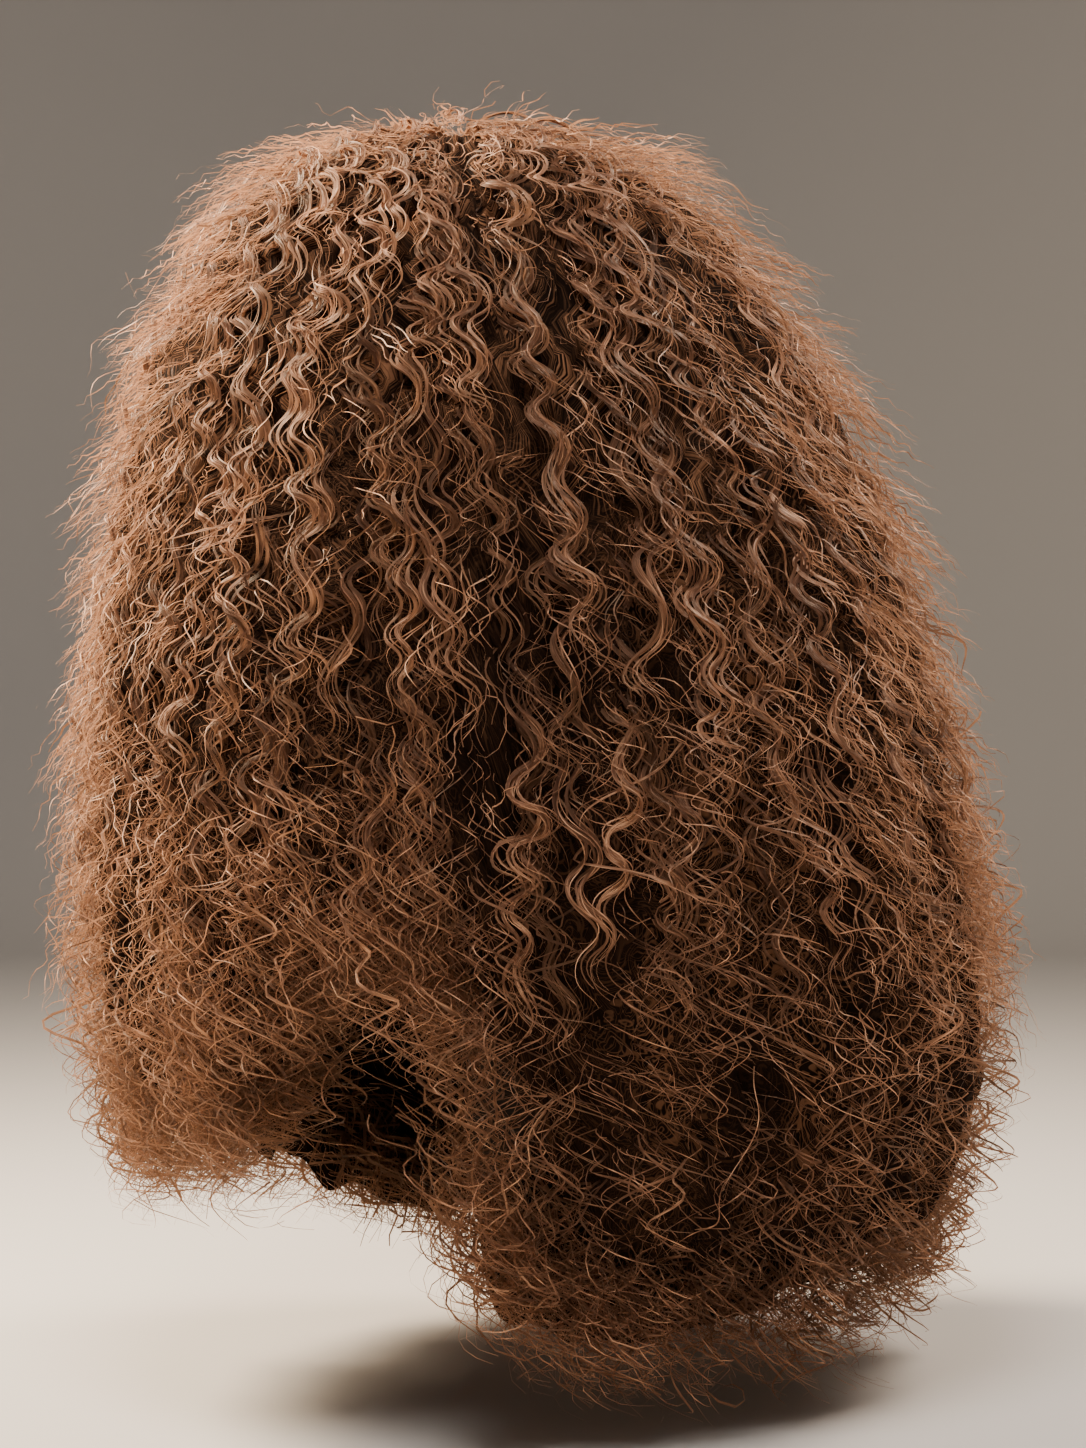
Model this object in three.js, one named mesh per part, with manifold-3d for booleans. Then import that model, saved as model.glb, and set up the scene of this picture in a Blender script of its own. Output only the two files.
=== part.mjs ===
// A big curly wig: an open head cap, and five hair sections and a crown tuft that stand on it.
// Millimetres, +Z up. The origin is the cap's inner crown, where the top of a head meets it.
// The face looks along -Y, and the wearer's left is +X.
// Azimuth 0 is the face, +90 the left ear and 180 the nape.
import * as THREE from "three";
import { mergeVertices } from "three/addons/utils/BufferGeometryUtils.js";
import Module from "manifold-3d";

// The head that the cap fits: a 56 cm head is about 154 mm wide and 190 mm deep.
const HEAD = { halfWidth: 77, halfDepth: 95, dome: 105 };
const CAP_WALL = 1.5;
const SEAT_GAP = 0.4; // between the cap and the hair sewn on it
const SECTION_GAP = 0.5; // between neighbouring hair sections

// The open space for the neck below the head, down past the hair's ends.
const NECK = [
  { z: -190, halfWidth: 76, halfDepth: 94, back: 0 },
  { z: -265, halfWidth: 67, halfDepth: 76, back: 12 },
  { z: -420, halfWidth: 67, halfDepth: 76, back: 12 },
];
const FLOOR = NECK.at(-1).z;

// Height of the cap's edge, from the hairline over the ears to the nape.
const CAP_EDGE = [
  { azimuth: 0, z: -62 },
  { azimuth: 50, z: -74 },
  { azimuth: 85, z: -118 },
  { azimuth: 120, z: -124 },
  { azimuth: 180, z: -150 },
];

// Outline of the hair from the crown down: its half width at each height.
const OUTLINE = [
  { z: 42, halfWidth: 0 },
  { z: 36, halfWidth: 43 },
  { z: 13, halfWidth: 84 },
  { z: -20, halfWidth: 107 },
  { z: -53, halfWidth: 123 },
  { z: -120, halfWidth: 140 },
  { z: -186, halfWidth: 148 },
  { z: -240, halfWidth: 150 },
  { z: -286, halfWidth: 144 },
  { z: -325, halfWidth: 128 },
  { z: -400, halfWidth: 88 },
];
const DEPTH_SHARE = 0.985; // depth of the hair over its width
const LEAN = 0.215; // how far the back moves to the nape for each millimetre down
const FRONT_LEAN = 0.34; // share of the lean at the face

// Hair sections. tips are the heights where locks end at the section's two sides, and body is where
// its dense part ends. thick is a lock's half thickness, and tuck is how far its tip turns in to the neck.
const SECTIONS = [
  { name: "fringe", from: 7, to: 30, locks: 2, tips: [-276, -246], body: -226, thick: 14, tuck: 0 },
  { name: "left_front", from: 30, to: 107, locks: 7, tips: [-375, -379], body: -346, thick: 23, tuck: 4 },
  { name: "left_back", from: 107, to: 190, locks: 7, tips: [-374, -364], body: -340, thick: 25, tuck: 10 },
  { name: "right_back", from: 190, to: 278, locks: 7, tips: [-360, -348], body: -326, thick: 25, tuck: 10 },
  { name: "right_front", from: 278, to: 367, locks: 8, tips: [-348, -320], body: -300, thick: 22, tuck: 11 },
];
const CROWN = { radius: 40, locks: 7, steps: 4, thick: 12, swirl: 40 };

// A lock is a rope with a round outside and a flat root side. It swings from side to side,
// in step with its neighbours, and thins out to its tip.
const LOCK = { steps: 15, overlap: 1.3, sink: 0.95, taperFrom: 0.84, tip: 0.34, tuckFrom: 0.6 };
const LOCK_SIDES = [0, 50, 90, 130, 180, 270]; // degrees round a lock, 90 facing out
const SWING = { reach: 8, crimp: 4, waves: 3.3, lag: 0.75 };
const TIP_SPREAD = 14; // how unevenly the locks end
const GOLDEN_TURN = 2.399963; // spreads the ends evenly over any number of locks
const ROUND_STEPS = 32;
const DOME_STEPS = 9;
const BODY_STEPS = 24;

const COLOURS = { hair: 0x6e4429, crown: 0x7a4d30, cap: 0x35241a };

const wasm = await Module();
wasm.setup();
const rad = THREE.MathUtils.degToRad;
const outline = new THREE.SplineCurve(OUTLINE.map((row) => new THREE.Vector2(row.halfWidth, row.z)));
const outlineTop = OUTLINE[0].z;
const outlineSteps = 400;
const outlinePoints = outline.getSpacedPoints(outlineSteps);

// The share of the outline's length at which it has come down to a height.
function shareAt(z) {
  return outlinePoints.findIndex((p) => p.y <= z) / outlineSteps;
}

function middleOf(ring) {
  return ring.reduce((sum, p) => sum.add(p), new THREE.Vector3()).divideScalar(ring.length);
}

// A closed mesh from rings of equal length, with a single point before the first and after the last.
function closedRings(first, rings, last) {
  const points = [first, ...rings.flat(), last];
  const around = rings[0].length;
  const faces = [];
  const at = (ring, i) => 1 + ring * around + (i % around);
  for (let i = 0; i < around; i++) faces.push(0, at(0, i + 1), at(0, i));
  for (let ring = 0; ring + 1 < rings.length; ring++)
    for (let i = 0; i < around; i++) {
      const [a, b, c, d] = [at(ring, i), at(ring, i + 1), at(ring + 1, i), at(ring + 1, i + 1)];
      faces.push(a, b, d, a, d, c);
    }
  const end = points.length - 1;
  for (let i = 0; i < around; i++) faces.push(end, at(rings.length - 1, i), at(rings.length - 1, i + 1));
  return new THREE.BufferGeometry().setFromPoints(points).setIndex(faces);
}

function solid(geometry) {
  const bare = new THREE.BufferGeometry().setAttribute("position", geometry.getAttribute("position"));
  bare.setIndex(geometry.index);
  const merged = mergeVertices(bare, 1e-4);
  const made = new wasm.Manifold(
    new wasm.Mesh({
      numProp: 3,
      vertProperties: new Float32Array(merged.getAttribute("position").array),
      triVerts: new Uint32Array(merged.index.array),
    }),
  );
  if (made.volume() <= 0) throw new Error("a solid is inside out");
  return made;
}

function geometryOf(made) {
  const { vertProperties, triVerts } = made.getMesh();
  const geometry = new THREE.BufferGeometry();
  geometry.setAttribute("position", new THREE.BufferAttribute(new Float32Array(vertProperties), 3));
  geometry.setIndex(new THREE.BufferAttribute(new Uint32Array(triVerts), 1));
  geometry.computeVertexNormals();
  return geometry;
}

function fuse(solids) {
  return solids.reduce((sum, next) => sum.add(next));
}

// The outer body alone, so that closed pockets between locks are filled.
function filled(made) {
  return made.decompose().reduce((best, next) => (next.volume() > best.volume() ? next : best));
}

// The hair falls from the crown away to the nape, most at the back and least at the face.
function leanAt(azimuth, z) {
  const share = THREE.MathUtils.lerp(FRONT_LEAN, 1, (1 - Math.cos(rad(azimuth))) / 2);
  return LEAN * share * (outlineTop - z);
}

// Smooth steps between the rows of a table, the same on the left and the right.
function edgeHeight(azimuth) {
  const turned = Math.abs(THREE.MathUtils.euclideanModulo(azimuth + 180, 360) - 180);
  const next = Math.max(1, CAP_EDGE.findIndex((row) => row.azimuth >= turned - 1e-9));
  const [low, high] = [CAP_EDGE[next - 1], CAP_EDGE[next]];
  const share = THREE.MathUtils.smoothstep(turned, low.azimuth, high.azimuth);
  return THREE.MathUtils.lerp(low.z, high.z, share);
}

// A point on the head's form grown by offset, at an angle down from the crown.
function headPoint(azimuth, down, offset) {
  const a = rad(azimuth);
  return new THREE.Vector3(
    (HEAD.halfWidth + offset) * Math.sin(down) * Math.sin(a),
    -(HEAD.halfDepth + offset) * Math.sin(down) * Math.cos(a),
    (HEAD.dome + offset) * Math.cos(down) - HEAD.dome,
  );
}

const azimuths = Array.from({ length: ROUND_STEPS }, (_, i) => (i * 360) / ROUND_STEPS);
const downSteps = Array.from({ length: DOME_STEPS }, (_, i) => (i + 1) / DOME_STEPS);

// The cap: down the inside from the crown to the edge, and back up the outside.
function makeCap() {
  const edgeDown = (azimuth) => Math.acos((edgeHeight(azimuth) + HEAD.dome) / HEAD.dome);
  const ring = (share, offset) => azimuths.map((a) => headPoint(a, share * edgeDown(a), offset));
  const inside = downSteps.map((share) => ring(share, 0));
  const outside = downSteps.map((share) => ring(share, CAP_WALL)).reverse();
  const crown = (offset) => headPoint(0, 0, offset);
  return closedRings(crown(0), [...inside, ...outside], crown(CAP_WALL));
}

// The open space inside the hair: the cap's outer form with a gap, then the neck down past the ends.
function makeHollow() {
  const offset = CAP_WALL + SEAT_GAP;
  const head = downSteps.map((share) => azimuths.map((a) => headPoint(a, (share * Math.PI) / 2, offset)));
  const neck = NECK.map((row) =>
    azimuths.map((a) => {
      const across = row.halfWidth * Math.sin(rad(a));
      return new THREE.Vector3(across, row.back - row.halfDepth * Math.cos(rad(a)), row.z);
    }),
  );
  const rings = [...head, ...neck].map((ring) => ring.reverse());
  return closedRings(headPoint(0, 0, offset), rings, new THREE.Vector3(0, 0, FLOOR));
}

// A place on the hair's outline: share 0 at the crown and 1 at the longest ends.
function outlinePlace(azimuth, share) {
  const { x: radius, y: z } = outline.getPointAt(share);
  const slope = outline.getTangentAt(share);
  const a = rad(azimuth);
  const outward = new THREE.Vector3(Math.sin(a), -DEPTH_SHARE * Math.cos(a), 0);
  return {
    radius,
    point: outward.clone().multiplyScalar(radius).add(new THREE.Vector3(0, leanAt(azimuth, z), z)),
    along: new THREE.Vector3(Math.cos(a), Math.sin(a), 0),
    normal: outward.multiplyScalar(-slope.y).setZ(slope.x).normalize(),
  };
}

// One lock from startShare to endShare. width(radius) gives its half width where the hair is that wide.
function makeLock(lock) {
  const { azimuth, startShare, endShare, thick, width, phase } = lock;
  const { tuck = 0, swirl = 0, steps = LOCK.steps } = lock;
  const rings = [];
  for (let step = 0; step <= steps; step++) {
    const part = step / steps;
    const turn = phase + part * SWING.waves * 2 * Math.PI;
    const place = outlinePlace(azimuth + swirl * part, THREE.MathUtils.lerp(startShare, endShare, part));
    const taper = THREE.MathUtils.lerp(1, LOCK.tip, THREE.MathUtils.smoothstep(part, LOCK.taperFrom, 1));
    const turnIn = tuck * THREE.MathUtils.smoothstep(part, LOCK.tuckFrom, 1);
    const halfWidth = width(place.radius) * taper;
    const depth = Math.min(thick, place.radius / 2) * taper;
    const loose = Math.min(1, place.radius / OUTLINE[3].halfWidth);
    const centre = place.point
      .addScaledVector(place.normal, -depth - turnIn + (SWING.crimp / 2) * Math.cos(turn))
      .addScaledVector(place.along, SWING.reach * loose * Math.sin(turn));
    const ring = LOCK_SIDES.map(rad).map((angle) =>
      centre
        .clone()
        .addScaledVector(place.along, halfWidth * Math.cos(angle))
        .addScaledVector(place.normal, depth * Math.sin(angle)),
    );
    rings.push(ring);
  }
  return closedRings(middleOf(rings[0]), rings, middleOf(rings.at(-1)));
}

// The dense hair under the locks, down to a share of the outline.
function makeBody(endShare, thick) {
  const turns = Array.from({ length: BODY_STEPS }, (_, i) => (i * 360) / BODY_STEPS);
  const rings = downSteps.map((part) =>
    turns.map((a) => {
      const place = outlinePlace(a, part * endShare);
      return place.point.addScaledVector(place.normal, -LOCK.sink * Math.min(thick, place.radius / 2));
    }),
  );
  const { y: footZ } = outline.getPointAt(endShare);
  const foot = new THREE.Vector3(0, leanAt(90, footZ), footZ);
  return closedRings(outlinePlace(0, 0).point, rings.map((r) => r.reverse()), foot);
}

// A slice of the hair between two azimuths, set back on both sides by half the section gap.
// Each side is a plane that leans as the hair does there.
function makeSlice({ from, to }) {
  const far = 3 * OUTLINE.at(-1).halfWidth;
  const ring = (z) => {
    const sides = [from, to].map((azimuth, i) => {
      const a = rad(azimuth);
      const along = new THREE.Vector2(Math.sin(a), -Math.cos(a));
      const inward = new THREE.Vector2(Math.cos(a), Math.sin(a)).multiplyScalar(i ? -1 : 1);
      const start = inward.multiplyScalar(SECTION_GAP / 2).add(new THREE.Vector2(0, leanAt(azimuth, z)));
      return { along, start };
    });
    const [low, high] = sides;
    const between = high.start.clone().sub(low.start);
    const reach = between.cross(high.along) / low.along.cross(high.along);
    const corner = low.start.clone().addScaledVector(low.along, reach);
    const bends = [0, 0.25, 0.5, 0.75, 1].map((share) => rad(THREE.MathUtils.lerp(from, to, share)));
    const rim = bends.map((a) => new THREE.Vector2(far * Math.sin(a), -far * Math.cos(a)).add(corner));
    return [corner, ...rim].map((p) => new THREE.Vector3(p.x, p.y, z));
  };
  const [top, bottom] = [ring(2 * outlineTop), ring(FLOOR)];
  return closedRings(middleOf(bottom), [bottom, top], middleOf(top));
}

function makeRoundCut(radius) {
  const tall = 4 * outlineTop;
  return new THREE.CylinderGeometry(radius, radius, tall, ROUND_STEPS / 2).rotateX(Math.PI / 2);
}

const hollow = solid(makeHollow());
const locksInTurn = SECTIONS.map((row) => (row.locks * 360) / (row.to - row.from));
const totalLocks = locksInTurn.reduce((sum, count) => sum + count) / SECTIONS.length;
const crownShare = CROWN.radius / outline.getLength();

function makeSection(row, number) {
  const spacing = (row.to - row.from) / row.locks;
  const locks = Array.from({ length: row.locks }, (_, i) => {
    const count = number * 8 + i;
    const tipZ = THREE.MathUtils.lerp(...row.tips, (i + 0.5) / row.locks);
    return makeLock({
      azimuth: row.from + (i + 0.5) * spacing,
      startShare: crownShare * 0.8,
      endShare: shareAt(tipZ + TIP_SPREAD * (0.5 - Math.sin(count * GOLDEN_TURN) / 2)),
      thick: row.thick,
      tuck: row.tuck,
      width: (radius) => (LOCK.overlap * radius * Math.PI) / totalLocks,
      phase: count * SWING.lag,
    });
  });
  const mass = fuse([makeBody(shareAt(row.body), row.thick), ...locks].map(solid));
  const crownSpace = solid(makeRoundCut(CROWN.radius + SECTION_GAP));
  return filled(mass.subtract(hollow).subtract(crownSpace).intersect(solid(makeSlice(row))));
}

function makeCrown() {
  const endShare = crownShare * 1.5;
  const locks = Array.from({ length: CROWN.locks }, (_, i) =>
    makeLock({
      azimuth: (i * 360) / CROWN.locks,
      startShare: crownShare * 0.06,
      endShare,
      thick: CROWN.thick,
      width: (radius) => (LOCK.overlap * radius * Math.PI) / CROWN.locks,
      phase: 0,
      steps: CROWN.steps,
      swirl: CROWN.swirl,
    }),
  );
  const mass = fuse([makeBody(endShare, CROWN.thick), ...locks].map(solid));
  return filled(mass.subtract(hollow).intersect(solid(makeRoundCut(CROWN.radius))));
}

function named(name, geometry, colour, roughness) {
  const material = new THREE.MeshStandardMaterial({ color: colour, roughness, metalness: 0 });
  const mesh = new THREE.Mesh(geometry, material);
  mesh.name = name;
  return mesh;
}

const wig = new THREE.Group();
wig.add(named("cap", makeCap(), COLOURS.cap, 0.9));
wig.add(named("crown_hair", geometryOf(makeCrown()), COLOURS.crown, 0.55));
SECTIONS.forEach((row, number) => {
  wig.add(named(`${row.name}_hair`, geometryOf(makeSection(row, number)), COLOURS.hair, 0.55));
});

export default wig;
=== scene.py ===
import math

import bpy
import numpy as np
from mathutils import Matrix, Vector


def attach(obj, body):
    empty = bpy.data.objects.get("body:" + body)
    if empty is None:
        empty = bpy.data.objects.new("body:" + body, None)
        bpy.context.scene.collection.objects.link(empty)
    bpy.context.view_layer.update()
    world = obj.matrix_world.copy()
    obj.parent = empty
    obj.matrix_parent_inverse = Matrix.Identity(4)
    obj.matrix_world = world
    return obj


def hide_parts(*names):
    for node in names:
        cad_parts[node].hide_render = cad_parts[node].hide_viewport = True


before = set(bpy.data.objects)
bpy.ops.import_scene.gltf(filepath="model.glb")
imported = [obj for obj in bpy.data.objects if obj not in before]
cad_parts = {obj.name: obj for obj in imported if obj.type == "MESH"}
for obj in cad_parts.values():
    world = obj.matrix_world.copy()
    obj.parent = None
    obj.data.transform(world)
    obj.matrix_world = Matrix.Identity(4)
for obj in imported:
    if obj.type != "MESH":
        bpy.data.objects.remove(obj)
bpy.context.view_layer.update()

rng = np.random.default_rng(20)
fullTurn = 2 * math.pi

# form of the hair in metres: the same outline, lean and hair ends as the solids
wigForm = {
    "outline": (  # height, half width
        (0.042, 0.000), (0.036, 0.043), (0.013, 0.084), (-0.020, 0.107), (-0.053, 0.123), (-0.120, 0.140),
        (-0.186, 0.148), (-0.240, 0.150), (-0.286, 0.144), (-0.325, 0.128), (-0.400, 0.088)),
    "ends": (  # azimuth in degrees, height where the hair ends
        (7.0, -0.276), (14.0, -0.270), (20.0, -0.258), (30.0, -0.244), (36.5, -0.290), (36.6, -0.346),
        (46.0, -0.366), (60.0, -0.375), (107.0, -0.375), (190.0, -0.362), (270.0, -0.349), (312.0, -0.325),
        (366.9, -0.312), (367.0, -0.276)),
    "depthShare": 0.985,  # depth over width
    "lean": 0.215,  # how far the hair falls to the back for each metre down, at the nape
    "frontLean": 0.34,  # share of that lean at the face
    "hollow": (  # the room for the head and the neck: height, half width, half depth, set back
        (-0.105, 0.0789, 0.0969, 0.0), (-0.19, 0.076, 0.094, 0.0), (-0.265, 0.067, 0.076, 0.012),
        (-0.42, 0.067, 0.076, 0.012)),
    "hollowDome": 0.1069,  # height of the hollow's dome over its widest level
}
firstAzimuth = 7  # degrees, where the fringe starts

# sections of curls: piece, solids that it stands for, azimuth where it ends
sections = (
    ("fringe_curls", ("fringe_hair",), 30),
    ("left_front_curls", ("left_front_hair",), 107),
    ("left_back_curls", ("left_back_hair",), 190),
    ("right_back_curls", ("right_back_hair",), 278),
    ("right_front_curls", ("right_front_hair",), 367),
    ("crown_curls", ("crown_hair",), None),
)
crownNumber = len(sections) - 1
hairSolids = [solid for row in sections for solid in row[1]]
pieces = (*sections, ("loose_hairs", hairSolids, None))  # fine hairs all round stand out past the curls
looseNumber = len(pieces) - 1
crownReach = 0.20  # share of the outline that the crown's curls cover


def smoothStep(low, high, x):  # 0 below low, 1 above high, an S curve between
    t = np.clip((x - low) / (high - low), 0, 1)
    return t * t * (3 - 2 * t)


def mix(a, b, share):
    return a + (b - a) * share


def unit(v):  # each vector over its length
    return v / np.maximum(np.linalg.norm(v, axis=-1, keepdims=True), 1e-12)


# a cubic through the rows whose slope at a row is half the step between its neighbours,
# kept as height, radius and their slopes against the length along the curve
def outlineTable(rows, perSpan=60):
    p = np.array(rows)
    padded = np.concatenate([p[:1], p, p[-1:]])
    t = np.linspace(0, 1, perSpan, endpoint=False)[:, None]
    spans = []
    for i in range(len(p) - 1):
        before, start, stop, after = padded[i:i + 4]
        spans.append((2 * t**3 - 3 * t**2 + 1) * start + (t**3 - 2 * t**2 + t) * (stop - before) / 2
                     + (3 * t**2 - 2 * t**3) * stop + (t**3 - t**2) * (after - start) / 2)
    z, radius = np.concatenate([*spans, p[-1:]]).T
    length = np.concatenate([[0], np.cumsum(np.hypot(np.diff(z), np.diff(radius)))])
    return {"share": length / length[-1], "length": length[-1], "z": z, "radius": radius,
            "dz": np.gradient(z, length), "dr": np.gradient(radius, length)}


outline = outlineTable(wigForm["outline"])


def outlineAt(key, share):
    return np.interp(share, outline["share"], outline[key])


# a place in the hair from its azimuth, its share of the way down the outline and its depth under it:
# the oval of the outline's radius, set back by the lean for each metre down, then straight in by the depth;
# gives the point and the unit directions down the hair, out of it and round it
def wigPlace(azimuth, share, depth):
    azimuth, share, depth = np.broadcast_arrays(azimuth, share, depth)
    radius, z = outlineAt("radius", share), outlineAt("z", share)
    dr, dz = outlineAt("dr", share), outlineAt("dz", share)
    sine, cosine = np.sin(azimuth), np.cos(azimuth)
    lean = wigForm["lean"] * mix(wigForm["frontLean"], 1, (1 - cosine) / 2)
    k = wigForm["depthShare"]
    point = np.stack([radius * sine, lean * (outline["z"][0] - z) - k * radius * cosine, z], -1)
    down = unit(np.stack([dr * sine, -lean * dz - k * dr * cosine, dz], -1))
    side = unit(np.stack([cosine, k * sine, np.zeros(azimuth.shape)], -1))
    out = unit(np.cross(down, side))
    return point - out * depth[..., None], down, out, side


def wholeDegrees(azimuth):  # degrees counted from where the fringe starts
    return (np.degrees(azimuth) - firstAzimuth) % 360 + firstAzimuth


def hairEnd(azimuth):  # share of the outline where the hair ends at an azimuth
    at, z = np.array(wigForm["ends"]).T
    return np.interp(-np.interp(wholeDegrees(azimuth), at, z), -outline["z"], outline["share"])


def hollowAt(z):  # half width, half depth and set back of the hollow at a height
    rows = np.array(wigForm["hollow"])
    return [np.interp(-z, -rows[:, 0], rows[:, i]) for i in (1, 2, 3)]


# depth from the outer form to the hollow: where the line straight in first crosses the hollow's oval
def hollowDepth(azimuth, share):
    point, down, out, side = wigPlace(azimuth, share, 0.0)
    a, b, setBack = hollowAt(point[..., 2])
    px, py = point[..., 0] / a, (point[..., 1] - setBack) / b
    ox, oy = out[..., 0] / a, out[..., 1] / b
    square = ox**2 + oy**2
    half = px * ox + py * oy
    return (half - np.sqrt(np.maximum(half**2 - square * (px**2 + py**2 - 1), 0))) / square


def sectionOf(azimuth, share):  # number of the section that a strand belongs to
    stops = [stop for name, solids, stop in sections[:-1]]
    number = np.searchsorted(stops, wholeDegrees(azimuth), side="right")
    return np.where(share < crownReach, crownNumber, np.minimum(number, crownNumber - 1))


# places spread over the outer form between two shares of the outline; thin is the density above
# and the two shares between which it rises to 1
def scatter(count, low, high, thin=(1, 0, 1)):
    fine = np.linspace(low, high, 600)
    density = mix(thin[0], 1, smoothStep(thin[1], thin[2], fine))
    weight = np.cumsum((outlineAt("radius", fine) + 0.004) * density)
    order = (np.arange(count) + rng.random(count)) / count
    share = np.interp(order, weight / weight[-1], fine)
    goldenTurn = 0.61803398875 * fullTurn
    return (np.arange(count) * goldenTurn + rng.normal(0, 0.05, count)) % fullTurn, share


def spread(rows):  # a bell curve without its far ends
    return np.clip(rng.normal(0, 1, (rows, 1)), -1.7, 1.7)


def slowNoise(azimuth, share, seed):  # a sum of waves over the outer form, about -1 to 1
    own = np.random.default_rng(seed)
    total = 0
    for _ in range(6):
        around, along = own.integers(2, 9) * azimuth, own.uniform(4, 22) * share
        total = total + np.sin(around + along + own.random() * fullTurn)
    return total / 3.2


# a sum of waves round the hair: 0 on a bunch of it, 1 in the channel between two, where the hair sinks and
# the strands get painted shade
def valleyAt(azimuth, share):
    own = np.random.default_rng(0)
    total = 0
    for turns in (13, 19, 23, 31):
        total = total + np.sin(turns * azimuth + own.uniform(-5, 5) * share + own.random() * fullTurn)
    return smoothStep(0.1, 1.7, total)


# a flat ribbon along each path: across it is square to the path and to the way that it faces
def ribbons(paths, facing, width):
    across = unit(np.cross(np.gradient(paths, axis=1), facing)) * width[..., None] / 2
    return np.stack([paths - across, paths + across], 2)


# colour chart of the hair: a column for each tone, from root to tip down the column
hairTones = 48  # columns of single hairs, then those of bands of hairs
bandTones = 16
chartColumns = hairTones + bandTones
columnEdges = 0.08, 0.92  # shares of a column where the two sides of a ribbon lie


# a mesh from arrays of corners and faces, and for each chart the places of the faces' corners on it
def meshPiece(name, points, faces, charts, kinds=None):
    sizes = np.concatenate([np.full(len(f), f.shape[1]) for f in faces])
    corners = np.concatenate([f.ravel() for f in faces])
    mesh = bpy.data.meshes.new(name)
    mesh.vertices.add(len(points))
    mesh.vertices.foreach_set("co", points.astype(np.float32).ravel())
    mesh.loops.add(len(corners))
    mesh.loops.foreach_set("vertex_index", corners.astype(np.int32))
    mesh.polygons.add(len(sizes))
    mesh.polygons.foreach_set("loop_start", (np.cumsum(sizes) - sizes).astype(np.int32))
    mesh.polygons.foreach_set("use_smooth", np.ones(len(sizes), bool))
    if kinds is not None:
        mesh.polygons.foreach_set("material_index", kinds.astype(np.int32))
    mesh.update(calc_edges=True)
    for chartName, chart in charts.items():
        layer = mesh.uv_layers.new(name=chartName)
        places = np.concatenate([c.reshape(-1, 2) for c in chart])
        layer.data.foreach_set("uv", places.astype(np.float32).ravel())
    piece = bpy.data.objects.new(name, mesh)
    bpy.context.scene.collection.objects.link(piece)
    return piece


def triangles(piece):
    sizes = np.empty(len(piece.data.polygons), np.int32)
    piece.data.polygons.foreach_get("loop_total", sizes)
    return int((sizes - 2).sum())


def stripCorners(strips):  # the four corners of each quad along the strips, in turn
    return np.stack([strips[:, :-1, 0], strips[:, :-1, 1], strips[:, 1:, 1], strips[:, 1:, 0]], 2)


class CurlStore:  # gathers ribbons by piece until they are made into meshes
    def __init__(self):
        self.parts = {number: [] for number in range(len(pieces))}

    def add(self, section, strips, tone, band):
        hairColumn = np.clip(tone * hairTones, 0, hairTones - 1).astype(int)
        bandColumn = hairTones + np.clip(tone * bandTones, 0, bandTones - 1).astype(int)
        column = np.where(band, bandColumn, hairColumn)
        for number in np.unique(section):
            chosen = section == number
            self.parts[int(number)].append((strips[chosen], column[chosen]))

    def mesh(self, number, name):
        points, quads, charts, kinds, start = [], [], [], [], 0
        for strips, column in self.parts[number]:
            count, length = strips.shape[:2]
            ids = start + np.arange(count * length * 2).reshape(count, length, 2)
            u = np.broadcast_to((column[:, None, None] + np.array(columnEdges)) / chartColumns, ids.shape)
            v = np.broadcast_to(np.linspace(0, 1, length)[None, :, None], ids.shape)
            quads.append(stripCorners(ids).reshape(-1, 4))
            charts.append(stripCorners(np.stack([u, v], -1)).reshape(-1, 4, 2))
            kinds.append(np.repeat(column >= hairTones, length - 1))
            points.append(strips.reshape(-1, 3))
            start += ids.size
        return meshPiece(name, np.concatenate(points), quads, {"OFBake": charts}, np.concatenate(kinds))


def rowsOf(values, hairs):  # a row for each hair, from a value for each lock
    return np.repeat(values, hairs)[:, None]


toneMix = {"own": 0.5, "power": 1.3, "base": 0.10, "deep": 0.32}


# tone of each hair, 0 dark to 1 light: partly its lock's, few of them light, and with painted shade deep in
# the hair and in the channels between bunches
def toneOf(lockTone, hairTone, deep):
    hairs = len(hairTone) // len(lockTone)
    tone = mix(np.repeat(lockTone, hairs), hairTone, toneMix["own"])
    return np.clip(tone**toneMix["power"] + toneMix["base"] - toneMix["deep"] * np.repeat(deep, hairs), 0, 1)


# waved locks along the outer form: side = swing x sin of the way down, out = part of swing x cos of it,
# and down a little by the sin of twice the way, which rounds the crests;
# the strands of a lock, some of them bands of hairs, share its wave and wander about its middle
wavedLocks = {
    "count": 470, "strands": 7, "bands": 4, "points": 54, "zone": (0.07, 0.72), "length": (0.062, 0.112),
    "shortOfEnd": 0.03,  # share of the outline that a lock stops short of the hair ends
    "period": 0.0215, "periodSpread": (0.8, 1.25),
    "phase": (3.0, 1.1),  # radians, the part like its neighbours' and its own
    "swing": 0.185, "swingSpread": (0.65, 1.1),  # swing as a share of the period
    "lift": (0.02, 0.10), "aside": 0.08, "depth": (0.0008, 0.0085), "valley": 0.005, "spread": 0.0026,
    "wander": (0.7, 0.073), "swell": (0.22, 0.051),  # size and length of the slow changes down a lock
    "gather": (0.04, 0.09),  # lengths over which a strand comes and goes
    "strays": 0.25, "strayReach": 2.2, "turnSpread": (0.6, 2.4),  # radians, of strands and of strays
    "hairWidth": 0.00035, "bandWidth": 0.00110, "fineRadius": 0.06,  # finer where the outline is narrower
    "frizzy": ((275.0, 362.0), (86.0, 165.0)), "frizzyShare": 0.5,  # degrees, share of locks left out there
}


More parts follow.
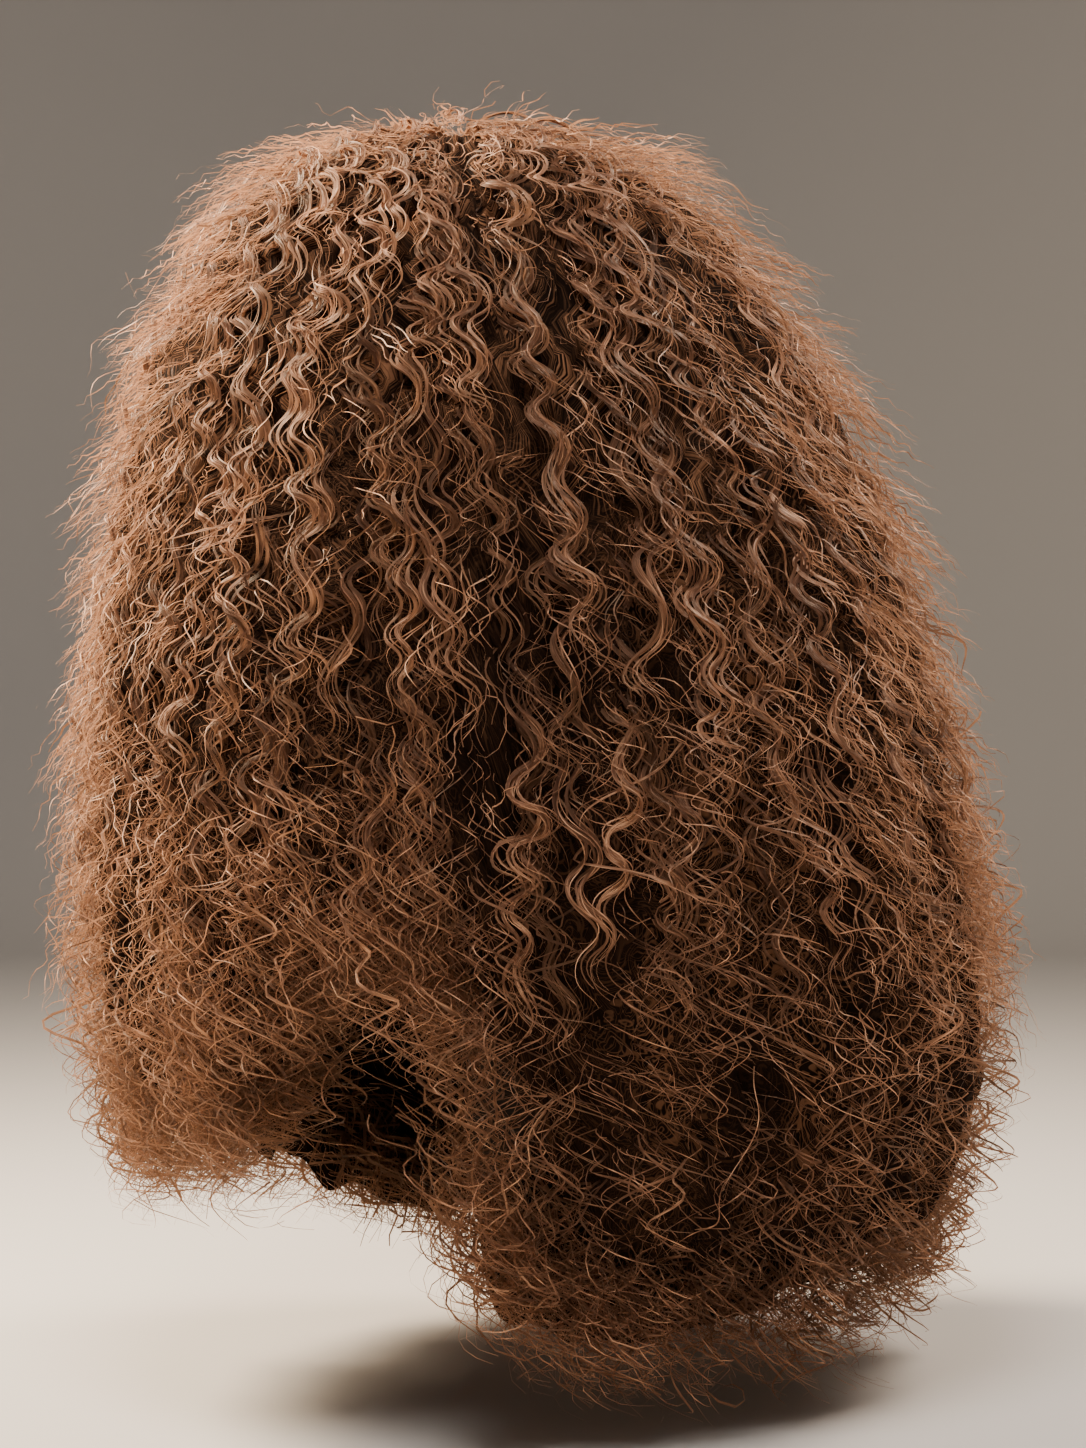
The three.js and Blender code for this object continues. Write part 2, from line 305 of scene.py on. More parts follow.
def makeWavedLocks(store):
    form = wavedLocks
    n, m = form["count"], form["strands"]
    azimuth, share = scatter(n, *form["zone"])
    lost = (rng.random(n) < form["frizzyShare"]) & (share > crownReach)
    turned = wholeDegrees(azimuth)
    kept = ~(lost & np.any([(turned > low) & (turned < high) for low, high in form["frizzy"]], 0))
    azimuth, share, n = azimuth[kept], share[kept], kept.sum()
    share = np.minimum(share, hairEnd(azimuth) - form["shortOfEnd"])
    length = np.minimum(rng.uniform(*form["length"], n), (share - 0.012) * outline["length"] + 0.004)
    lift = rng.uniform(*form["lift"], n)
    t = np.linspace(0, 1, form["points"])
    back = 1 - t
    band = np.tile(np.arange(m) < form["bands"], n)[:, None]
    each = rng.random((10, n * m, 1))
    strayed = (each[0] < form["strays"]) & ~band
    climb = rowsOf(length * np.cos(lift), m) * back / outline["length"]
    shares = np.clip(rowsOf(share, m) - climb + 0.02 * (each[8] - 0.5), 0.006, 1)
    # how deep each lock lies, as a share of its depth range; deeper locks also get painted shade
    deep = rng.random(n)
    valley = valleyAt(azimuth, share) * smoothStep(0.25, 0.5, share)
    depth = mix(*form["depth"], deep) + form["valley"] * valley
    depths = rowsOf(depth, m) + rowsOf(length * np.sin(lift), m) * back**1.3
    turnAside = rowsOf(rng.normal(0, form["aside"], n), m) * back
    place, down, out, side = wigPlace(rowsOf(azimuth, m) + turnAside, shares, depths)
    way = shares * outline["length"]
    wanderSize, wanderLength = form["wander"]
    wander = wanderSize * np.sin(fullTurn * way / wanderLength + rowsOf(rng.random(n) * fullTurn, m))
    alike, ownPhase = form["phase"]
    phase = alike * slowNoise(azimuth, share, 3) + rng.normal(0, ownPhase, n)
    period = form["period"] * rng.uniform(*form["periodSpread"], n)
    turn = fullTurn * way / rowsOf(period, m) + rowsOf(phase, m) + wander
    turn = turn + np.where(strayed, *form["turnSpread"][::-1]) * (each[1] - 0.5)
    swellSize, swellLength = form["swell"]
    swell = 1 + swellSize * np.sin(fullTurn * way / swellLength + rowsOf(rng.random(n) * fullTurn, m))
    girth = np.clip(outlineAt("radius", shares) / form["fineRadius"], 0.3, 1)
    size = rowsOf(form["swing"] * period * rng.uniform(*form["swingSpread"], n), m)
    size = size * swell * (0.88 + 0.24 * each[2]) * (0.65 + 0.35 * smoothStep(0, 0.3, t)) * girth
    gather = np.sin(fullTurn * way / mix(*form["gather"], each[3]) + each[4] * fullTurn)
    gather = 0.62 + 0.38 * gather + 0.8 * t**5
    reach = np.where(strayed, form["strayReach"], 1.0) * form["spread"] * gather * girth
    aside = spread(n * m) * reach
    above = np.where(band, -0.5, 0.5) * np.abs(spread(n * m)) * reach
    sideways = size * (np.sin(turn) + 0.10 * np.sin(1.7 * turn + each[9] * fullTurn)) + aside
    outways = 0.55 * size * np.cos(turn) + above
    downways = -0.7 * size**2 / rowsOf(period, m) * np.sin(2 * turn)
    paths = place + side * sideways[..., None] + out * outways[..., None] + down * downways[..., None]
    twist = np.where(band, 0.5 * np.sin(turn + 0.6) + 0.8 * (each[5] - 0.5), 2.2 * (each[5] - 0.5))
    facing = out * np.cos(twist)[..., None] + side * np.sin(twist)[..., None]
    width = np.where(band, form["bandWidth"], form["hairWidth"]) * (0.65 + 0.7 * each[6])
    width = width * (1 - 0.8 * smoothStep(0.65, 1, t))
    width = width * np.where(band, 0.35 + 0.65 * smoothStep(0, 0.25, t), 1)
    # painted shade: hairs of locks that lie deep or in a channel between bunches are darker
    tone = toneOf(rng.random(n), each[7, :, 0], np.clip(deep + 0.7 * valley, 0, 1.4))
    section = sectionOf(np.repeat(azimuth, m), np.repeat(share - 0.5 * length / outline["length"], m))
    store.add(section, ribbons(paths, facing, width), tone, band[:, 0])


# tufts of curled hair that come out of the mass and end at the outer form: a straight way out and down,
# with a sine to the side and a cosine up; the looser the tuft, the wider and the less alike its curls.
# zone and endReach are shares of the outline, loose the shares between which a tuft loosens, sides azimuths,
# past how far below the hair ends, and two changes of tone: a painted light everywhere and a painted shade
# low down
lyingFrizz = {
    "count": 790, "hairs": 6, "points": 19, "zone": (0.10, 1.0), "thin": (0.32, 0.30, 0.66), "lowShade": 0.17,
    "length": (0.024, 0.038), "endReach": 0.10, "lift": (0.06, 0.38), "depth": (-0.0015, 0.0065),
    "period": (0.0150, 0.0245), "curl": (0.0014, 0.0068), "loose": (0.30, 0.72), "fan": 0.0044,
    "width": 0.00034, "bandWidth": 0.00070, "bands": 0.24,
}
standingFrizz = {
    "count": 840, "hairs": 6, "points": 13, "zone": (0.05, 1.0), "thin": (0.45, 0.2, 0.58), "lowShade": 0.17,
    "length": (0.015, 0.026), "endReach": 0.12, "lift": (0.45, 1.10), "depth": (-0.0045, 0.0040),
    "period": (0.0120, 0.0215), "curl": (0.0007, 0.0056), "loose": (0.40, 0.85), "fan": 0.0036,
    "width": 0.00031, "bandWidth": 0.00068, "bands": 0.14,
}
hairEnds = {  # depth as a share of the way in to the hollow
    "count": 660, "hairs": 6, "points": 19, "zone": (1.0, 1.0), "past": 0.011, "lowShade": 0.02,
    "inward": True, "outer": 1.4,  # more of them near the outer form
    "length": (0.034, 0.056), "endReach": 0.050, "lift": (-0.05, 0.35), "depth": (0.00, 0.96),
    "period": (0.0130, 0.0260), "curl": (0.0020, 0.0070), "loose": (0.30, 0.75), "fan": 0.0050,
    "width": 0.00034, "bandWidth": 0.00070, "bands": 0.24,
}
partingCurls = {  # on the two sides of the opening at the chin, from the outer form in to the hollow
    "count": 170, "hairs": 6, "points": 19, "zone": (0.62, 0.96), "inward": True,
    "sides": ((-2.0, 8.0), (31.0, 41.0)),
    "length": (0.034, 0.054), "endReach": 0.10, "lift": (-0.10, 0.25), "depth": (0.03, 0.95),
    "period": (0.0120, 0.0220), "curl": (0.0018, 0.0046), "loose": (0.30, 0.75), "fan": 0.0050,
    "width": 0.00033, "bandWidth": 0.00084, "bands": 0.34,
}
innerCurls = {  # on the inner side of the hair, below the cap
    "count": 110, "hairs": 5, "points": 13, "zone": (0.60, 1.0), "inward": True,
    "length": (0.030, 0.046), "endReach": 0.12, "lift": (-0.30, -0.05), "depth": (0.93, 0.985),
    "period": (0.0120, 0.0200), "curl": (0.0014, 0.0038), "loose": (0.30, 0.75), "fan": 0.0040,
    "width": 0.00048, "bandWidth": 0.00110, "bands": 0.40,
}
innerEnds = {  # hair ends on the far inner side, seen through the opening
    "count": 400, "hairs": 6, "points": 13, "zone": (1.0, 1.0), "past": 0.014, "piece": looseNumber,
    "sides": ((112.0, 166.0), (166.0, 222.0), (222.0, 262.0), (262.0, 306.0)), "inward": True, "level": True,
    "length": (0.042, 0.070), "endReach": 0.050, "lift": (-0.15, 0.10), "depth": (0.76, 0.985),
    "period": (0.0130, 0.0220), "curl": (0.0018, 0.0044), "loose": (0.30, 0.75), "fan": 0.0060,
    "width": 0.00048, "bandWidth": 0.00115, "bands": 0.34,
}
sideFan = {  # long crimped hairs that stand out at both sides
    "count": 500, "hairs": 6, "points": 19, "zone": (0.14, 0.74), "sides": ((-88.0, 4.0), (88.0, 160.0)),
    # painted light: a lighter tone for the back-light that these standing hairs catch
    "piece": looseNumber, "light": 0.18,
    "length": (0.028, 0.044), "endReach": 0.10, "lift": (0.42, 0.95), "depth": (-0.0105, 0.0020),
    "period": (0.0085, 0.0130), "curl": (0.0009, 0.0022), "loose": (0.45, 1.00), "fan": 0.0036,
    "width": 0.00034, "bandWidth": 0.00070, "bands": 0.10,
}
flyaways = {
    "count": 430, "hairs": 1, "points": 17, "zone": (0.01, 1.0), "piece": looseNumber,
    "length": (0.026, 0.050), "endReach": 0.08, "lift": (0.25, 1.1), "depth": (-0.0085, -0.0015),
    "period": (0.0140, 0.0240), "curl": (0.0020, 0.0044), "loose": (0.05, 0.40), "fan": 0.0030,
    "width": 0.00032, "bandWidth": 0.00032, "bands": 0.0,
}
tufts = (lyingFrizz, standingFrizz, hairEnds, partingCurls, innerCurls, innerEnds, sideFan, flyaways)
valleyDepth = 0.007  # metres that the frizz sinks in the dark channels

# alike in all tufts
tuftHabit = {
    "crownLift": 0.45,  # share of the lift that is lost at the crown
    "patches": 0.12,  # how much the looseness changes from place to place
    "ownCurl": (0.3, 1),  # share of a hair's curl that is its own, in a tight tuft and in a loose one
    "endSpread": 0.016, "depthSpread": 0.006, "sway": 0.09, "ownSway": 0.2, "hairSway": 0.02,
    "periodSpread": (0.8, 1.25), "ownPeriod": 0.7, "roundness": (0.5, 0.95),
    "lowest": 0.975, "lowestSpread": 0.05,  # share of the outline past which no hair goes
    "fullShadeDepth": 0.012, "low": (0.58, 0.75),  # metres deep where the painted shade is darkest, shares between which the painted shade low down sets in
}


def makeTufts(store, form):
    n, m = form["count"], form["hairs"]
    azimuth, share = scatter(n, *form["zone"], form.get("thin", (1, 0, 1)))
    if "sides" in form:
        low, high = np.radians(form["sides"]).T[:, np.arange(n) % len(form["sides"])]
        azimuth = rng.uniform(low, high)
    end = hairEnd(azimuth)
    share = np.where(share > end, end + form.get("past", 0) - form["endReach"] * rng.random(n), share)
    lift = rng.uniform(*form["lift"], n) * (1 - tuftHabit["crownLift"] * smoothStep(0.3, 0.1, share))
    length = np.minimum(rng.uniform(*form["length"], n), share * outline["length"] * 0.9)
    loose = smoothStep(*form["loose"], share + tuftHabit["patches"] * slowNoise(azimuth, share, 5))
    t = np.linspace(0, 1, form["points"])
    back = 1 - t
    each = rng.random((10, n * m, 1))
    band = each[9] < form["bands"]
    own = rowsOf(mix(*tuftHabit["ownCurl"], loose), m)
    depth = mix(*form["depth"], rng.random(n)**form.get("outer", 1))
    if "inward" in form:
        depth = depth * hollowDepth(azimuth, share)
    if "level" in form:  # further along, until it is as low as the outer form was
        rise = -wigPlace(azimuth, share, 0.0)[2][..., 2] * depth
        share = share - rise / (outlineAt("dz", share) * outline["length"])
    valley = valleyAt(azimuth, share) * smoothStep(0.3, 0.5, share)
    depth = depth + valleyDepth * valley
    climb = rowsOf(length * np.cos(lift), m) * back / outline["length"]
    shares = rowsOf(share, m) - climb + tuftHabit["endSpread"] * (each[0] - 0.5)
    depths = rowsOf(depth, m) + rowsOf(length * np.sin(lift), m) * back**1.15
    depths = depths + tuftHabit["depthSpread"] * (each[1] - 0.4)
    sway = rowsOf(rng.normal(0, tuftHabit["sway"], n), m) * back + tuftHabit["hairSway"] * spread(n * m)
    sway = sway + tuftHabit["ownSway"] * own * (each[5] - 0.5) * back
    uneven = tuftHabit["lowestSpread"] * each[7] if "level" in form else 0
    shares = np.clip(shares, 0.002, tuftHabit["lowest"] - uneven)
    place, down, out, side = wigPlace(rowsOf(azimuth, m) + sway, shares, depths)
    lifts = rowsOf(lift, m)[..., None]
    up = out * np.cos(lifts) - down * np.sin(lifts)
    period = rowsOf(mix(*form["period"], loose) * rng.uniform(*tuftHabit["periodSpread"], n), m)
    period = period * (1 + tuftHabit["ownPeriod"] * own * (each[2] - 0.5))
    turn = fullTurn * rowsOf(length, m) * t / period + rowsOf(rng.random(n) * fullTurn, m)
    turn = turn + own * each[3] * fullTurn
    size = rowsOf(mix(*form["curl"], loose), m) * (0.6 + 0.8 * each[4])
    size = size * (0.35 + 0.65 * smoothStep(0, 0.45, t))
    slow = np.sin(0.57 * turn + each[5] * fullTurn)
    roundness = rowsOf(mix(*tuftHabit["roundness"], loose), m)
    fan = form["fan"] * (0.4 + 0.8 * t)
    sideways = size * (np.sin(turn) + 0.45 * slow) + spread(n * m) * fan
    upways = size * (roundness * np.cos(turn) + 0.35 * np.cos(1.43 * turn + each[6] * fullTurn))
    upways = upways + 0.7 * spread(n * m) * fan
    paths = place + side * sideways[..., None] + up * upways[..., None]
    twist = each[7] * fullTurn
    facing = up * np.cos(twist)[..., None] + side * np.sin(twist)[..., None]
    width = np.where(band, form["bandWidth"], form["width"]) * (0.7 + 0.6 * each[8])
    width = width * (1 - 0.75 * smoothStep(0.65, 1, t))
    # painted shade: tufts that lie deep or in a channel between bunches are darker
    deep = smoothStep(0, tuftHabit["fullShadeDepth"], depth) + 0.4 * valley
    tone = toneOf(rng.random(n), rng.random(n * m), deep)
    # painted light on the side fan, and painted shade low down, as changes of tone
    change = form.get("light", 0) - form.get("lowShade", 0) * smoothStep(*tuftHabit["low"], share)
    tone = np.clip(tone + np.repeat(change, m), 0, 1)
    section = sectionOf(np.repeat(azimuth, m), np.repeat(share, m))
    if "piece" in form:
        section[:] = form["piece"]
    store.add(section, ribbons(paths, facing, width), tone, band[:, 0])


# a closed shell from a grid of columns, the last the first again, and of levels down the outside and up the
# inside; a fan of triangles closes it at a point at each end
def shellPiece(name, grid, topOut, topIn, charts):
    count, levels = grid.shape[0] - 1, grid.shape[1]
    ids = np.arange(count * levels).reshape(count, levels)
    beside = np.roll(ids, -1, 0)
    last = count * levels
    topFan = np.stack([np.full(count, last), ids[:, 0], beside[:, 0]], -1)
    innerFan = np.stack([np.full(count, last + 1), beside[:, -1], ids[:, -1]], -1)
    quads = np.stack([ids[:, :-1], ids[:, 1:], beside[:, 1:], beside[:, :-1]], -1).reshape(-1, 4)

    def corners(chart):  # chart places of the quads and of the two fans
        first, final = ((chart[:-1, row] + chart[1:, row]) / 2 for row in (0, -1))
        square = np.stack([chart[:-1, :-1], chart[:-1, 1:], chart[1:, 1:], chart[1:, :-1]], 2)
        return [square.reshape(-1, 4, 2), np.stack([first, chart[:-1, 0], chart[1:, 0]], 1),
                np.stack([final, chart[1:, -1], chart[:-1, -1]], 1)]

    points = np.concatenate([grid[:-1].reshape(-1, 3), topOut, topIn])
    cornerCharts = {key: corners(chart) for key, chart in charts.items()}
    return meshPiece(name, points, [quads, topFan, innerFan], cornerCharts)


def levelChart(azimuth, levels):  # place round the shell, and level down its outside and up its inside
    return np.stack(np.broadcast_arrays(azimuth / fullTurn, np.arange(1, levels + 1) / (levels + 1)), -1)


# dense hair under the curls: a hollow mass in S-waved ridges, whose inner wall follows the neck and the head;
# a ridge is the size of the sine of the place across the locks, which swings from side to side down the hair
underHair = {
    "name": "under_hair", "round": 270, "down": 66, "inside": 11, "depth": 0.0095,
    "locks": 54, "grooveDepth": 0.008, "swing": 0.34, "period": 0.0215, "lumps": 0.003,
    "hem": 0.031,  # share of the outline that it stops short of the hair ends
    "hemWaves": ((0.16, 11, 1), (0.12, 19, 0)),  # share of the hem, waves round the hair, phase
    "tuckIn": 0.018, "footRise": 0.004,  # metres that the foot goes in, and that its inner edge is higher
    "retreat": 7,  # columns that it stays behind the sides of the opening
}


def makeUnderHair():
    form = underHair
    count = form["round"]
    azimuth = (np.arange(count + 1) / count * fullTurn)[:, None]
    blur = np.hanning(11) / np.hanning(11).sum()
    end = hairEnd(azimuth[:-1, 0])
    end = np.min([np.roll(end, step) for step in range(-form["retreat"], form["retreat"] + 1)], 0)
    plainEnd = np.convolve(np.concatenate([end[-5:], end, end[:6]]), blur, "valid")[:, None]
    uneven = sum((size * np.sin(waves * azimuth + phase) for size, waves, phase in form["hemWaves"]), 1)
    end = plainEnd - form["hem"] * uneven
    t = np.linspace(0, 1, form["down"])[None, 1:]
    share = end * t
    loose = smoothStep(0.45, 0.8, share)
    swing = form["swing"] * smoothStep(0.03, 0.2, share) * (1 - 0.5 * loose)
    phase = 5 * slowNoise(azimuth, share, 8)
    across = azimuth / fullTurn * form["locks"]
    across = across + swing * np.sin(fullTurn * share * outline["length"] / form["period"] + phase)
    ridge = np.abs(np.sin(math.pi * across))
    lumps = np.sin(23 * azimuth + 9 * np.sin(31 * share)) * np.sin(61 * share + 5 * np.sin(17 * azimuth))
    groove = form["grooveDepth"] * (1 - ridge) * smoothStep(0.03, 0.2, share) * (1 - 0.5 * loose)
    depth = form["depth"] + groove
    depth = depth + form["lumps"] * loose * lumps + form["tuckIn"] * smoothStep(0.9, 1, t)**2
    depth = depth + valleyDepth * valleyAt(azimuth, share) * smoothStep(0.25, 0.5, share)
    outer = wigPlace(azimuth, share, depth)[0]
    widest = wigForm["hollow"][0]
    foot = outlineAt("z", end) + form["footRise"]
    z = mix(foot, widest[0], np.linspace(0, 1, form["inside"])[None, :])
    a, b, setBack = hollowAt(z)
    neck = np.stack([a * np.sin(azimuth), setBack - b * np.cos(azimuth), z], -1)
    rise = np.linspace(0, math.pi / 2, form["inside"])[None, 1:-1]
    flat = np.cos(rise) * np.ones_like(azimuth)
    headTop = widest[0] + wigForm["hollowDome"] * np.sin(rise) * np.ones_like(azimuth)
    head = np.stack([widest[1] * flat * np.sin(azimuth), -widest[2] * flat * np.cos(azimuth), headTop], -1)
    grid = np.concatenate([outer, neck, head], 1)
    topOut = wigPlace(np.zeros(1), np.zeros(1), np.full(1, form["depth"]))[0]
    topIn = np.array([[0, 0, widest[0] + wigForm["hollowDome"]]])
    levels = grid.shape[1]
    inner = np.broadcast_to(azimuth / fullTurn * form["locks"], (count + 1, levels - across.shape[1]))
    innerWay = 0.5 + 0 * inner + np.linspace(0, 0.3, inner.shape[1])  # past all of the outer side
    wayDown = np.concatenate([share * outline["length"], innerWay], 1)
    fibreChart = np.stack([np.concatenate([across, inner], 1), wayDown / form["period"]], -1)
    charts = {"OFBake": levelChart(azimuth, levels), "fibres": fibreChart}
    return shellPiece(form["name"], grid, topOut, topIn, charts)


# the cap: a thin oval dome down to its edge, in small waves where the rows of weft are sewn on,
# with a round hem
capForm = {
    "name": "wig_cap", "round": 72, "down": 25,
    "halfWidth": 0.077, "halfDepth": 0.095, "dome": 0.105, "wall": 0.0015,
    "edge": ((0, -0.062), (50, -0.074), (85, -0.118), (120, -0.124), (180, -0.150)),  # azimuth, height
    "wefts": 11, "weftRise": 0.0004, "hem": (0.95, 0.975), "hemRise": 0.0003,
    "brim": 1.009,  # share of the way down to the edge where the round hem ends
}


def makeCap():
    form = capForm
    azimuth = np.linspace(0, fullTurn, form["round"] + 1)[:, None]
    turned = np.degrees(np.abs((azimuth + math.pi) % fullTurn - math.pi))
    at, z = np.array(form["edge"]).T
    row = np.clip(np.searchsorted(at, turned, side="right") - 1, 0, len(at) - 2)
    edge = mix(z[row], z[row + 1], smoothStep(at[row], at[row + 1], turned))
    edgeDown = np.arccos((edge + form["dome"]) / form["dome"])

    def headPlace(share, offset):  # on the oval grown by offset, at a share of the angle down to the edge
        down = edgeDown * share
        x = (form["halfWidth"] + offset) * np.sin(down) * np.sin(azimuth)
        y = -(form["halfDepth"] + offset) * np.sin(down) * np.cos(azimuth)
        return np.stack([x, y, (form["dome"] + offset) * np.cos(down) - form["dome"]], -1)

    t = np.linspace(0, 1, form["down"])[None, 1:]
    hem = smoothStep(*form["hem"], t)
    weft = (0.5 - 0.5 * np.cos(fullTurn * t * form["wefts"])) * (1 - hem) * form["weftRise"]
    outside = headPlace(t, form["wall"] + weft + form["hemRise"] * hem)
    brim = headPlace(np.full((1, 1), form["brim"]), form["wall"] / 2)
    inside = headPlace(t, -0.5 * weft)[:, ::-1]
    grid = np.concatenate([outside, brim, inside], 1)
    topOut, topIn = np.array([[0, 0, form["wall"]]]), np.zeros((1, 3))
    return shellPiece(form["name"], grid, topOut, topIn, {"OFBake": levelChart(azimuth, grid.shape[1])})


# shader maths
class Wire:  # a socket of a node tree: sums, products and powers of wires add Math nodes
    def __init__(self, tree, socket=None):
        self.tree, self.socket = tree, socket

    def node(self, kind, settings=None, sockets=None, output=0):  # settings first, then values or wires
        node = self.tree.nodes.new(kind)
        for key, value in (settings or {}).items():
            if key == "stops":
                ramp = node.color_ramp
                while len(ramp.elements) < len(value):
                    ramp.elements.new(1)
                for element, (place, colour) in zip(ramp.elements, value):
                    element.position, element.color = place, (*colour, 1)
            else:
                setattr(node, key, value)
        for key, value in (sockets or {}).items():
            if isinstance(value, Wire):
                self.tree.links.new(value.socket, node.inputs[key])
            else:
                node.inputs[key].default_value = value
        return Wire(self.tree, node.outputs[output] if node.outputs else None)

    def maths(self, operation, *values):
        return self.node("ShaderNodeMath", {"operation": operation}, dict(enumerate(values)))

    def __add__(self, other):
        return self.maths("ADD", self, other)

    def __radd__(self, other):
        return self.maths("ADD", other, self)

    def __sub__(self, other):
        return self.maths("SUBTRACT", self, other)

    def __rsub__(self, other):
        return self.maths("SUBTRACT", other, self)

    def __mul__(self, other):
        return self.maths("MULTIPLY", self, other)

    def __rmul__(self, other):
        return self.maths("MULTIPLY", other, self)

    def __truediv__(self, other):
        return self.maths("DIVIDE", self, other)

    def __pow__(self, other):
        return self.maths("POWER", self, other)

    def between(self, low, high):  # 0 below low, 1 above high
        return self.node("ShaderNodeMapRange", {"interpolation_type": "SMOOTHSTEP"},
                         {"Value": self, "From Min": low, "From Max": high})

    def blend(self, share, a, b):  # colours a and b by a share
        return self.node("ShaderNodeMix", {"data_type": "RGBA"}, {0: share, 6: a, 7: b}, 2)

    def ramp(self, *stops):
        return self.node("ShaderNodeValToRGB", {"stops": stops}, {0: self})

    def chartPlaces(self, name):  # the two places of a chart
        chart = self.node("ShaderNodeUVMap", {"uv_map": name})
        across = self.node("ShaderNodeSeparateXYZ", {}, {0: chart})
        return across, Wire(self.tree, across.socket.node.outputs[1])

    def noise(self, x, y, detail, distortion=0.0):  # cells one unit wide
        place = self.node("ShaderNodeCombineXYZ", {}, {0: x, 1: y})
        return self.node("ShaderNodeTexNoise", {"noise_dimensions": "2D"}, {
            "Vector": place, "Scale": 1.0, "Detail": detail, "Distortion": distortion})


# a material and the two places of a chart that it reads
def newMaterial(name, chart="OFBake"):
    material = bpy.data.materials.new(name)
    material.use_nodes = True
    material.node_tree.nodes.clear()
    return material, *Wire(material.node_tree).chartPlaces(chart)


def surface(shader):
    shader.node("ShaderNodeOutputMaterial", {}, {"Surface": shader})


# hair fibre: deep brown to gold by tone, with painted highlights and painted shade along its length, painted
# shade at the root where it lies inside the mass, light at the tip, with light shining through it
hairFinish = {
    "tones": ((0.0, (0.031, 0.0150, 0.0112)), (0.35, (0.120, 0.058, 0.040)), (0.70, (0.35, 0.177, 0.108)),
              (1.0, (0.76, 0.430, 0.255))),
    "root": (0.010, 0.0047, 0.0036, 1), "rootShade": 0.8, "tip": (0.58, 0.315, 0.165, 1), "tipShare": 0.25,
    "through": (0.60, 0.315, 0.180, 1), "throughShare": 0.28,
    "paintedGleam": 1.9, "roughness": 0.38, "roughChange": 0.15,
    "specular": 0.36, "specularTint": (1.0, 0.70, 0.46, 1),
    "bandHairs": 3, "bandDrift": 1.6, "gapShade": 0.92, "bump": 0.7, "bumpHeight": 0.0004,
}


def hairMaterial(name, band):
    form = hairFinish
    material, u, v = newMaterial(name)
    column = u * chartColumns
    cell = column.maths("FLOOR", column)
    hair = cell
    tone = (cell - hairTones) / bandTones if band else cell / hairTones
    # painted shade towards the root, where the hair lies inside the mass
    shade = (1 - v)**3.0 * form["rootShade"]
    sockets = {"Specular IOR Level": form["specular"], "Specular Tint": form["specularTint"]}
    if band:  # hairs side by side that wander across the band, with painted shade between them
        drift = u.noise(cell * 7.3, v * 5, 0.0)
        lane = (column - cell) * form["bandHairs"] + drift * form["bandDrift"] - form["bandDrift"] / 2
        strand = lane.maths("FLOOR", lane)
        hair = cell + strand * 0.37
        edge = ((lane - strand) * 2 - 1)**2.0
        shade = shade.maths("MAXIMUM", shade, edge.between(0.30, 0.95) * form["gapShade"])
        sockets["Normal"] = u.node("ShaderNodeBump", {}, {
            "Strength": form["bump"], "Distance": form["bumpHeight"], "Height": 1 - edge})
    # painted highlights and painted shade in patches along each hair; the same noise also changes the
    # roughness
    paintedGleam = u.noise(hair * 9.1, v * 9, 1.0)
    tone = tone + (paintedGleam - 0.5) * form["paintedGleam"]
    colour = (tone * 0.9 + 0.05).ramp(*form["tones"])
    colour = u.blend(v**2.0 * form["tipShare"], colour, form["tip"])
    sockets["Base Color"] = u.blend(shade, colour, form["root"])
    sockets["Roughness"] = paintedGleam * form["roughChange"] + form["roughness"]
    fibre = u.node("ShaderNodeBsdfPrincipled", {}, sockets)
    glow = u.node("ShaderNodeBsdfTranslucent", {}, {"Color": form["through"]})
    surface(u.node("ShaderNodeMixShader", {}, {0: form["throughShare"], 1: fibre, 2: glow}))
    return material


# the mass under the curls: painted hairs, streaks along S-waved locks above and tangled curls below, over a
# ground of painted shade, with painted shade in the grooves, on the inner side and beside the opening at the
# chin
underFinish = {
    # painted shade: the near-black ground between the painted hairs, which are themselves kept darker than
    # the curls for the shade deep in the mass
    "shadeGround": (0.006, 0.0028, 0.0016, 1), "light": (0.18, 0.087, 0.046, 1), "roughness": 0.8, "specular": 0.03,
    "streaks": 30.0, "streakLength": 0.7,  # noise cells across a lock and in a period down it
    "slow": (34, 9), "tangle": (62, 34), "crossing": (71, 41),  # noise cells round the hair and down it
    "tangleLines": 84, "crossingLines": 95,
    "tangled": (10.0, 14.5),  # periods down the hair between which the locks turn to tangles
    "parting": (0.08, 0.10, 0.15, 0.17), "partingShade": 0.6,  # shares of the way round
    "innerLevel": (0.66, 0.74), "innerShade": 0.85, "bump": 0.6, "bumpHeight": 0.0012,
}


